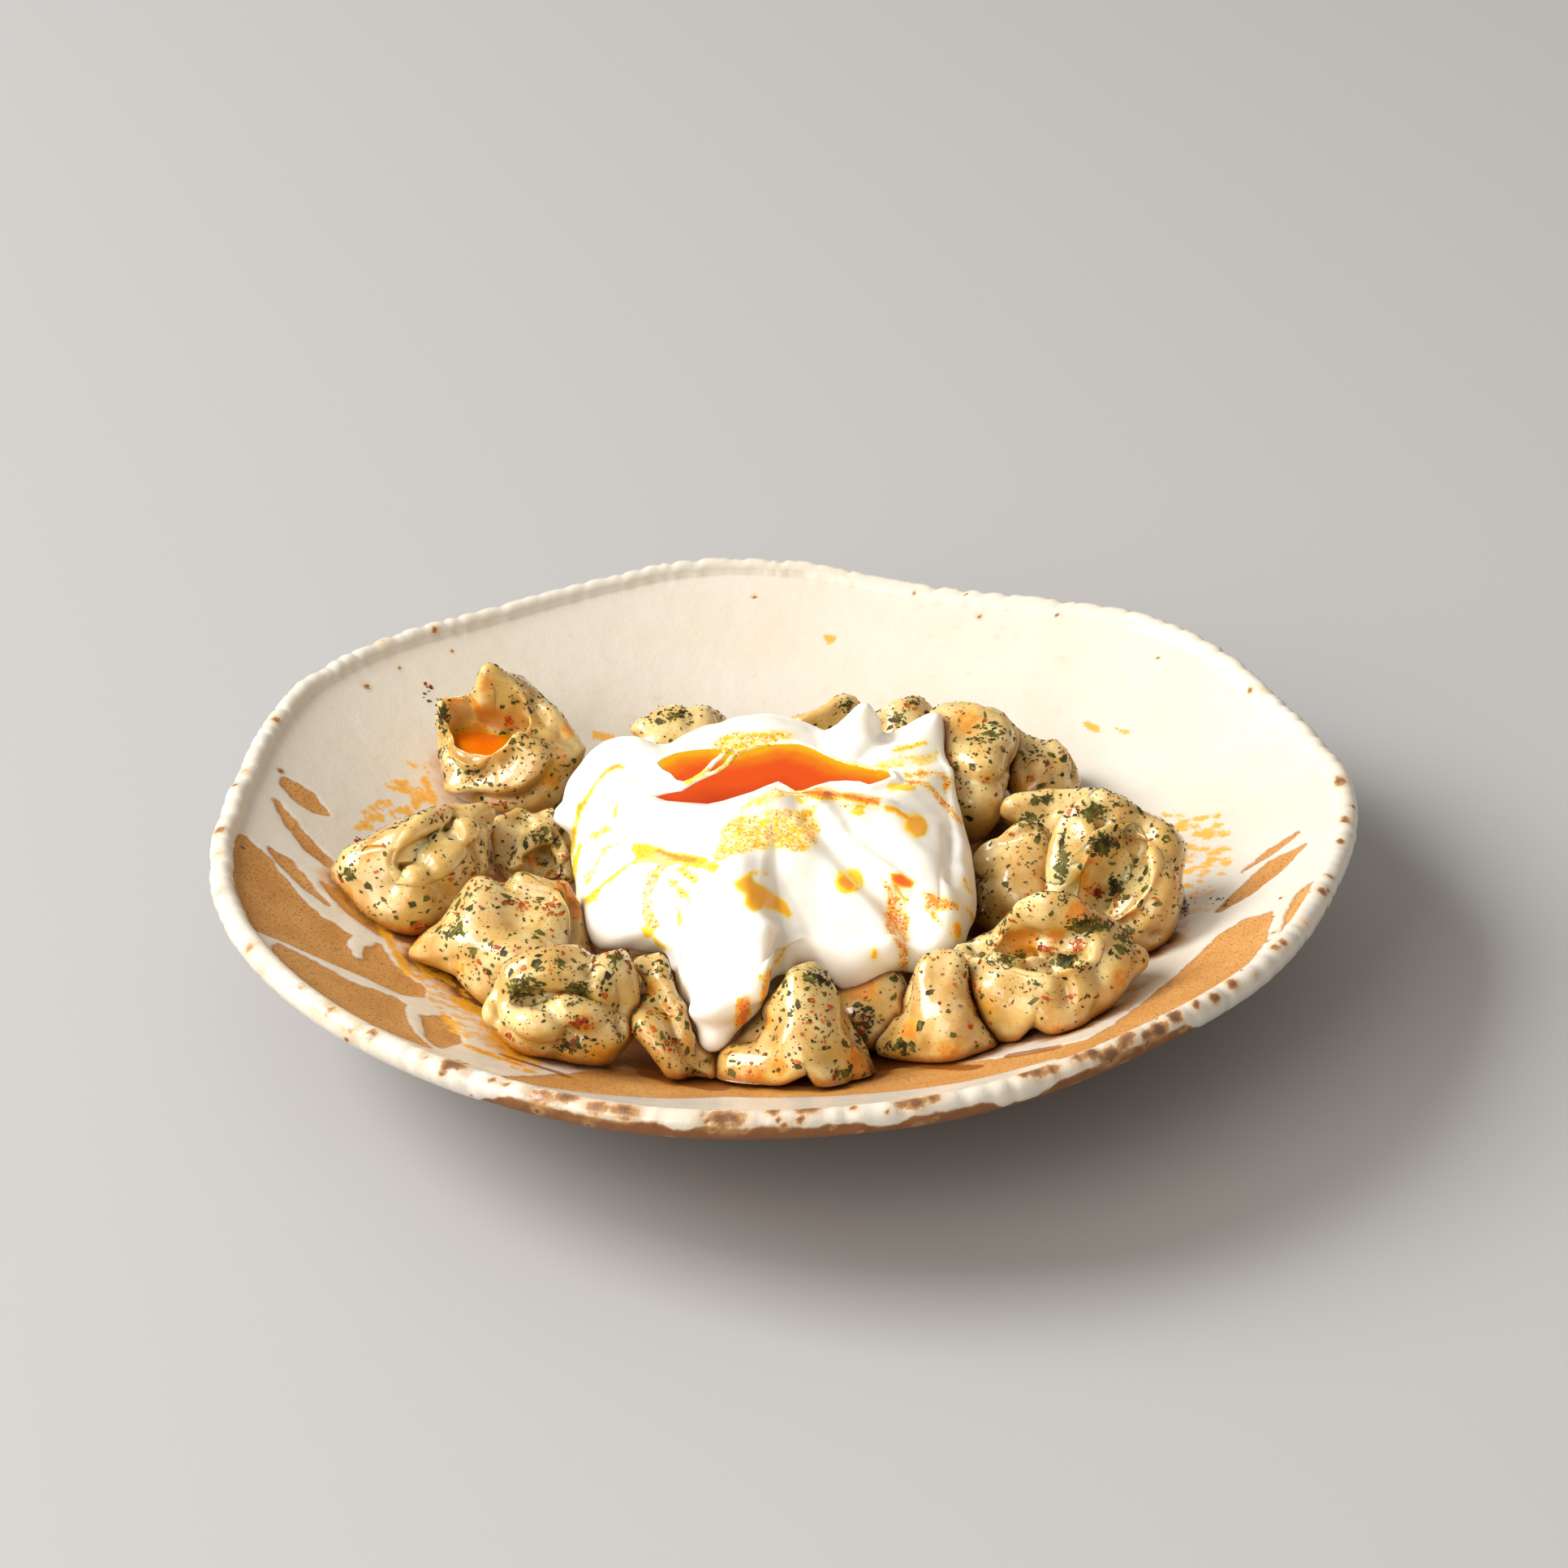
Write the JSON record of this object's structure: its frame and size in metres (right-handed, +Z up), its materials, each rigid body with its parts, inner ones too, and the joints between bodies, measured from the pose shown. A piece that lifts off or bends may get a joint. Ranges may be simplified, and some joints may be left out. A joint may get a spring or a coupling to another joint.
{
  "type": "plate of manti",
  "caption": "Deep hand-shaped stoneware plate of folded dumplings with a spoonful of yoghurt, chilli butter, herbs and chilli flakes on them.",
  "frame": {"origin": "middle of the plate's outline, on the surface it stands on", "axes": "+Z up, -Y towards the diner, +X to the diner's right"},
  "size_m": [0.259, 0.2532, 0.0579],
  "materials": {
    "stoneware": "glossy cream glaze with bare ochre clay showing",
    "dough": "wet, slightly see-through boiled dough with herb and chilli flakes",
    "yoghurt": "smooth, moist, streaked with chilli butter",
    "chilli_butter": "clear liquid gloss"
  },
  "bodies": {
    "root": {"plate": "stoneware", "manti_01": "dough", "manti_02": "dough", "manti_03": "dough", "manti_04": "dough", "manti_05": "dough", "manti_06": "dough", "manti_07": "dough", "manti_08": "dough", "manti_09": "dough", "manti_10": "dough", "manti_11": "dough", "manti_12": "dough", "manti_13": "dough", "manti_14": "dough", "manti_15": "dough", "manti_16": "dough", "manti_17": "dough", "manti_18": "dough", "manti_19": "dough", "manti_20": "dough", "manti_21": "dough", "manti_22": "dough", "yoghurt": "yoghurt", "chilli_butter": "chilli_butter", "chilli_oil": "chilli_butter"}
  },
  "joints": []
}
